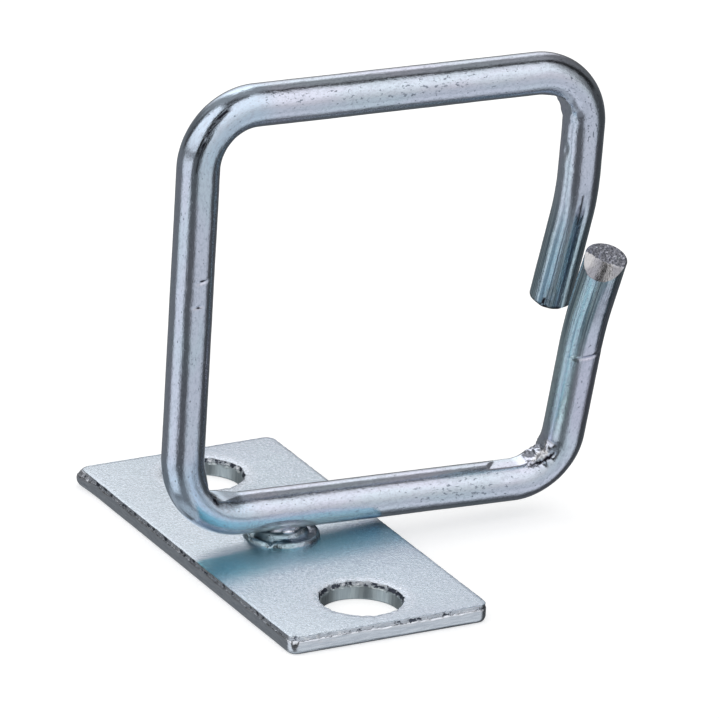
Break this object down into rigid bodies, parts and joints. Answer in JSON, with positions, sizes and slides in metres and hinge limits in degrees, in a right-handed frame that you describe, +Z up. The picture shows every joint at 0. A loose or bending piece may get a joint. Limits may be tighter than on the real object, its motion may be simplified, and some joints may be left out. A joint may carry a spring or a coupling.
{
  "type": "rack cable ring",
  "caption": "Zinc-plated steel rack cable ring: an open square loop of 4 mm rod with overlapping ends, projection-welded to a small two-hole base plate.",
  "frame": {"origin": "middle of the base plate's underside, midway between the two screw holes", "axes": "+Z up through the plate into the ring, X across the plate in the plane of the ring's opening with +X towards the mouth, Y along the plate through the two holes"},
  "size_m": [0.0446, 0.0434, 0.0469],
  "materials": {
    "zinc_plate": "satin blue-passivated zinc plating on sheared steel sheet",
    "zinc_rod": "bright blue-passivated zinc plating on drawn steel rod, with fine draw lines",
    "weld_metal": "plated weld flash, rough and darker"
  },
  "bodies": {
    "root": {"base_plate": "zinc_plate", "cable_ring": "zinc_rod", "weld": "weld_metal"}
  },
  "joints": []
}
